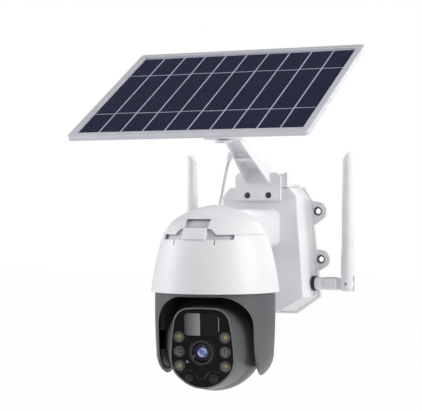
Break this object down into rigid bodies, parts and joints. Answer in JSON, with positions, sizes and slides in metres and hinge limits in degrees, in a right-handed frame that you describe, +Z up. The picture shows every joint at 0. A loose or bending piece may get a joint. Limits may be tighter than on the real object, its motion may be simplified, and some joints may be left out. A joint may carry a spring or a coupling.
{
  "type": "solar security camera",
  "caption": "Solar-powered pan-and-tilt security camera: wall box with folding antennas, hooded turning head with a tilting camera ball, and a solar panel on a tilting arm.",
  "frame": {"origin": "on the wall plane, on the centre line, midway in height between the upper and the lower screw lugs", "axes": "+Y into the wall, +Z up, +X to the right of someone who faces the camera; the camera looks to -Y"},
  "size_m": [0.235, 0.2128, 0.3227],
  "materials": {
    "white_plastic": "satin moulded ABS",
    "grey_plastic": "satin moulded grey",
    "black_gloss": "polished black",
    "dark_plastic": "fine moulded black",
    "seal_rubber": "matt black rubber",
    "screw_steel": "turned steel",
    "cell_wrap": "blue shrink wrap",
    "circuit_board": "green solder mask",
    "lead_jacket": "white PVC",
    "window_smoke": "smoked window",
    "window_frost": "frosted window",
    "lens_coated": "coated glass",
    "lamp_warm": "clear lens over a warm lamp",
    "lamp_clear": "clear lens",
    "panel_rim": "pale grey rim",
    "panel_sheet": "white back sheet",
    "solar_silicon": "polycrystalline silicon",
    "panel_cover": "clear cover glass"
  },
  "bodies": {
    "housing": {"battery_box": "white_plastic", "rear_cover": "white_plastic", "box_seal": "seal_rubber", "cover_screws": "screw_steel", "battery_cells": "cell_wrap", "battery_holder": "dark_plastic", "main_board": "circuit_board", "charge_socket": "dark_plastic", "solar_plug": "lead_jacket", "solar_lead": "lead_jacket", "lead_gland": "lead_jacket", "neck_arm": "white_plastic", "hood_cap": "white_plastic", "hood_skirt": "white_plastic", "hood_latch": "white_plastic", "motor_plate": "screw_steel", "plate_screws": "screw_steel", "pan_motor": "screw_steel", "pan_bearing": "screw_steel", "bracket_arm": "white_plastic", "bracket_screws": "screw_steel", "antenna_sockets": "white_plastic", "antenna_seals": "seal_rubber"},
    "power_button": {"power_button": "dark_plastic"},
    "pan_pinion": {"pan_pinion": "dark_plastic"},
    "head": {"yoke": "grey_plastic", "pan_hub": "dark_plastic", "pan_gear": "dark_plastic", "hub_retainer": "screw_steel", "yoke_bushes": "dark_plastic"},
    "ball": {"ball_front": "grey_plastic", "ball_back": "grey_plastic", "tilt_axles": "screw_steel", "tilt_motor": "dark_plastic", "face_plate": "black_gloss", "sensor_window": "window_frost", "lamp_window": "window_smoke", "lens_ring": "dark_plastic", "lens_barrel": "dark_plastic", "lens_glass": "lens_coated", "warm_lamps": "lamp_warm", "clear_lamps": "lamp_clear", "lamp_board": "circuit_board"},
    "panel_swivel": {"swivel_base": "white_plastic", "swivel_nut": "screw_steel"},
    "tilt_knob": {"tilt_bolt": "screw_steel", "tilt_knob": "white_plastic"},
    "panel": {"panel_frame": "panel_rim", "panel_back": "panel_sheet", "solar_cells": "solar_silicon", "panel_glass": "panel_cover", "junction_box": "dark_plastic", "panel_foot": "white_plastic", "foot_screws": "screw_steel"},
    "right_stub": {"antenna_stub_right": "white_plastic"},
    "right_antenna": {"antenna_rod_right": "white_plastic", "antenna_pin_right": "screw_steel"},
    "left_stub": {"antenna_stub_left": "white_plastic"},
    "left_antenna": {"antenna_rod_left": "white_plastic", "antenna_pin_left": "screw_steel"}
  },
  "joints": [
    {"name": "power_press", "type": "slide", "parent": "housing", "child": "power_button", "axis": [0, 0, 1], "range_m": [0, 0.0015], "stiffness_N_per_m": 300, "springref_m": -0.001},
    {"name": "head_pan", "type": "hinge", "parent": "housing", "child": "head", "pos_m": [0, -0.143, -0.043], "axis": [0, 0, 1], "range_deg": [-175, 175]},
    {"name": "pan_pinion_spin", "type": "hinge", "parent": "housing", "child": "pan_pinion", "pos_m": [0, -0.113, -0.034], "axis": [0, 0, 1], "range_deg": [-530, 530]},
    {"name": "ball_tilt", "type": "hinge", "parent": "head", "child": "ball", "pos_m": [0, -0.143, -0.0955], "axis": [0.9877, 0.1564, 0], "range_deg": [-14, 86]},
    {"name": "panel_turn", "type": "hinge", "parent": "housing", "child": "panel_swivel", "pos_m": [0, -0.124, 0.0942], "axis": [0, 0, 1], "range_deg": [-90, 90]},
    {"name": "panel_tilt", "type": "hinge", "parent": "panel_swivel", "child": "panel", "pos_m": [0, -0.124, 0.1146], "axis": [1, 0, 0], "range_deg": [-30, 35]},
    {"name": "knob_turn", "type": "hinge", "parent": "panel_swivel", "child": "tilt_knob", "pos_m": [0, -0.124, 0.1146], "axis": [1, 0, 0], "continuous": true},
    {"name": "right_antenna_turn", "type": "hinge", "parent": "housing", "child": "right_stub", "pos_m": [0.0596, -0.014, -0.0473], "axis": [1, 0, 0], "range_deg": [-180, 180]},
    {"name": "right_antenna_fold", "type": "hinge", "parent": "right_stub", "child": "right_antenna", "pos_m": [0.084, -0.014, -0.0473], "axis": [0, 1, 0], "range_deg": [0, 90]},
    {"name": "left_antenna_turn", "type": "hinge", "parent": "housing", "child": "left_stub", "pos_m": [-0.0596, -0.014, -0.0473], "axis": [1, 0, 0], "range_deg": [-180, 180]},
    {"name": "left_antenna_fold", "type": "hinge", "parent": "left_stub", "child": "left_antenna", "pos_m": [-0.084, -0.014, -0.0473], "axis": [0, -1, 0], "range_deg": [0, 90]}
  ],
  "couplings": [
    {"joint": "pan_pinion_spin", "follows": "head_pan", "ratio": -3}
  ]
}
